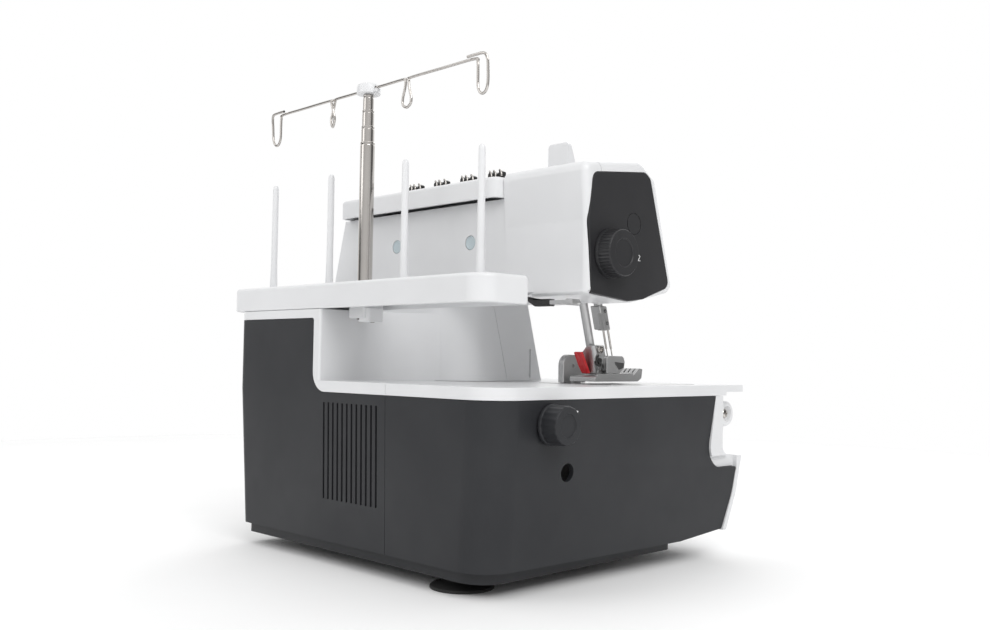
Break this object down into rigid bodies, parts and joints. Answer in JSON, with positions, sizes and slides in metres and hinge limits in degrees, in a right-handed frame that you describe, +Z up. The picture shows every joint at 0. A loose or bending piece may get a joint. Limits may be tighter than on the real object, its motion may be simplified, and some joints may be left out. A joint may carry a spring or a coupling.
{
  "type": "serger overlock machine",
  "caption": "Overlock sewing machine with dark lower covers, white arm and bed, spool tray with pins, telescopic thread guide, dials and an opening looper cover.",
  "frame": {"origin": "bottom centre of the whole machine, on the surface under its feet", "axes": "+X towards the operator's right (handwheel side), +Y away from the operator, +Z up"},
  "size_m": [0.3608, 0.31, 0.3796],
  "materials": {
    "white_plastic": "satin moulded plastic",
    "charcoal_plastic": "fine textured plastic",
    "graphite_plastic": "satin textured plastic",
    "black_plastic": "matte",
    "blue_grey_plastic": "satin",
    "red_plastic": "gloss",
    "rubber": "soft rubber",
    "steel": "machined steel",
    "chrome": "bright plated",
    "cast_metal": "die cast"
  },
  "bodies": {
    "machine": {"base_plate": "charcoal_plastic", "right_cover": "charcoal_plastic", "left_cover": "charcoal_plastic", "rear_casing": "white_plastic", "front_casing": "white_plastic", "bed_casing": "white_plastic", "top_cover": "white_plastic", "face_cover": "graphite_plastic", "take_up_cover": "white_plastic", "plug_1": "blue_grey_plastic", "plug_2": "blue_grey_plastic", "spool_tray": "white_plastic", "pole_bracket": "white_plastic", "needle_plate": "steel", "motor": "steel", "drive_belt": "rubber", "main_frame": "cast_metal", "power_inlet": "black_plastic", "foot_back_left": "rubber", "foot_back_right": "rubber", "foot_front_left": "rubber", "foot_front_right": "rubber", "spool_pin_1": "white_plastic", "pole_section_1": "chrome", "thread_clip_1": "steel", "spool_pin_2": "white_plastic", "thread_clip_2": "steel", "spool_pin_3": "white_plastic", "thread_clip_3": "steel", "spool_pin_4": "white_plastic", "thread_clip_4": "steel"},
    "pole_2": {"pole_section_2": "chrome"},
    "pole_3": {"pole_section_3": "chrome"},
    "pole_4": {"pole_section_4": "chrome"},
    "thread_guide": {"guide_hub": "white_plastic", "guide_wire": "steel"},
    "feed": {"feed_dog": "steel"},
    "needle_bar": {"needle_bar": "steel", "needle_left": "chrome", "needle_right": "chrome"},
    "presser": {"presser_bar": "steel", "presser_foot": "steel"},
    "release_lever": {"foot_release_lever": "red_plastic"},
    "knife": {"upper_knife": "steel"},
    "lifter": {"presser_lifter": "black_plastic"},
    "shaft": {"main_shaft": "steel", "handwheel": "charcoal_plastic"},
    "motor_rotor": {"motor_pulley": "steel"},
    "lower_looper": {"lower_looper": "steel"},
    "upper_looper": {"upper_looper": "steel"},
    "cover_rod": {"hinge_rod": "steel"},
    "looper_cover": {"looper_cover": "white_plastic"},
    "latch": {"latch_knob": "white_plastic"},
    "stitch_dial": {"stitch_dial": "charcoal_plastic"},
    "pressure_dial": {"pressure_dial": "graphite_plastic"},
    "switch": {"power_switch": "black_plastic"},
    "tension_dial_1": {"tension_dial_1": "graphite_plastic"},
    "tension_dial_2": {"tension_dial_2": "graphite_plastic"},
    "tension_dial_3": {"tension_dial_3": "graphite_plastic"},
    "tension_dial_4": {"tension_dial_4": "graphite_plastic"}
  },
  "joints": [
    {"name": "pole_slide_2", "type": "slide", "parent": "machine", "child": "pole_2", "axis": [0, 0, 1], "range_m": [0, 0.06]},
    {"name": "pole_slide_3", "type": "slide", "parent": "pole_2", "child": "pole_3", "axis": [0, 0, 1], "range_m": [0, 0.06]},
    {"name": "pole_slide_4", "type": "slide", "parent": "pole_3", "child": "pole_4", "axis": [0, 0, 1], "range_m": [0, 0.06]},
    {"name": "guide_swivel", "type": "hinge", "parent": "pole_4", "child": "thread_guide", "pos_m": [0.0066, 0.13105, 0.3755], "axis": [0, 0, 1], "range_deg": [-90, 90]},
    {"name": "shaft_spin", "type": "hinge", "parent": "machine", "child": "shaft", "pos_m": [0.1356, -0.00995, 0.085], "axis": [1, 0, 0], "continuous": true},
    {"name": "motor_spin", "type": "hinge", "parent": "machine", "child": "motor_rotor", "pos_m": [0.1256, 0.09305, 0.062], "axis": [1, 0, 0], "continuous": true},
    {"name": "needle_slide", "type": "slide", "parent": "machine", "child": "needle_bar", "axis": [0, -0.2687, -0.9632], "range_m": [0, 0.027]},
    {"name": "presser_slide", "type": "slide", "parent": "machine", "child": "presser", "axis": [0, 0.2687, 0.9632], "range_m": [0, 0.006]},
    {"name": "lifter_turn", "type": "hinge", "parent": "machine", "child": "lifter", "pos_m": [-0.1474, 0.06105, 0.2045], "axis": [0, -1, 0], "range_deg": [0, 20]},
    {"name": "release_press", "type": "hinge", "parent": "presser", "child": "release_lever", "pos_m": [-0.1104, -0.00445, 0.1523], "axis": [1, 0, 0], "range_deg": [0, 10], "stiffness_Nm_per_rad": 0.05},
    {"name": "knife_slide", "type": "slide", "parent": "machine", "child": "knife", "axis": [0, 0, 1], "range_m": [0, 0.008]},
    {"name": "feed_slide", "type": "slide", "parent": "machine", "child": "feed", "axis": [0, 1, 0], "range_m": [-0.002, 0.002]},
    {"name": "lower_looper_swing", "type": "hinge", "parent": "machine", "child": "lower_looper", "pos_m": [-0.1024, -0.05295, 0.062], "axis": [0, 1, 0], "range_deg": [-12, 12]},
    {"name": "upper_looper_swing", "type": "hinge", "parent": "machine", "child": "upper_looper", "pos_m": [-0.0604, -0.05795, 0.066], "axis": [0, 1, 0], "range_deg": [-12, 12]},
    {"name": "cover_slide", "type": "slide", "parent": "machine", "child": "cover_rod", "axis": [1, 0, 0], "range_m": [0, 0.0025]},
    {"name": "cover_tilt", "type": "hinge", "parent": "cover_rod", "child": "looper_cover", "pos_m": [-0.0054, -0.11695, 0.0245], "axis": [1, 0, 0], "range_deg": [0, 80]},
    {"name": "latch_turn", "type": "hinge", "parent": "looper_cover", "child": "latch", "pos_m": [-0.1484, -0.14395, 0.1175], "axis": [1, 0, 0], "range_deg": [-90, 90]},
    {"name": "stitch_dial_turn", "type": "hinge", "parent": "machine", "child": "stitch_dial", "pos_m": [-0.1724, 0.09805, 0.117], "axis": [1, 0, 0], "range_deg": [-150, 150]},
    {"name": "pressure_dial_turn", "type": "hinge", "parent": "machine", "child": "pressure_dial", "pos_m": [-0.1684, 0.03095, 0.2415], "axis": [1, 0, 0], "range_deg": [-150, 150]},
    {"name": "switch_rock", "type": "hinge", "parent": "machine", "child": "switch", "pos_m": [0.1486, 0.10505, 0.08], "axis": [0, 1, 0], "range_deg": [-8, 8]},
    {"name": "tension_dial_1_turn", "type": "hinge", "parent": "machine", "child": "tension_dial_1", "pos_m": [-0.0574, -0.03755, 0.266], "axis": [0, -0.9632, 0.2687], "range_deg": [-150, 150]},
    {"name": "tension_dial_2_turn", "type": "hinge", "parent": "machine", "child": "tension_dial_2", "pos_m": [-0.0241, -0.03755, 0.266], "axis": [0, -0.9632, 0.2687], "range_deg": [-150, 150]},
    {"name": "tension_dial_3_turn", "type": "hinge", "parent": "machine", "child": "tension_dial_3", "pos_m": [0.0092, -0.03755, 0.266], "axis": [0, -0.9632, 0.2687], "range_deg": [-150, 150]},
    {"name": "tension_dial_4_turn", "type": "hinge", "parent": "machine", "child": "tension_dial_4", "pos_m": [0.0425, -0.03755, 0.266], "axis": [0, -0.9632, 0.2687], "range_deg": [-150, 150]}
  ],
  "couplings": [
    {"joint": "motor_spin", "follows": "shaft_spin", "ratio": 3.75},
    {"joint": "lifter_turn", "follows": "presser_slide", "rad_per_m": 58}
  ]
}
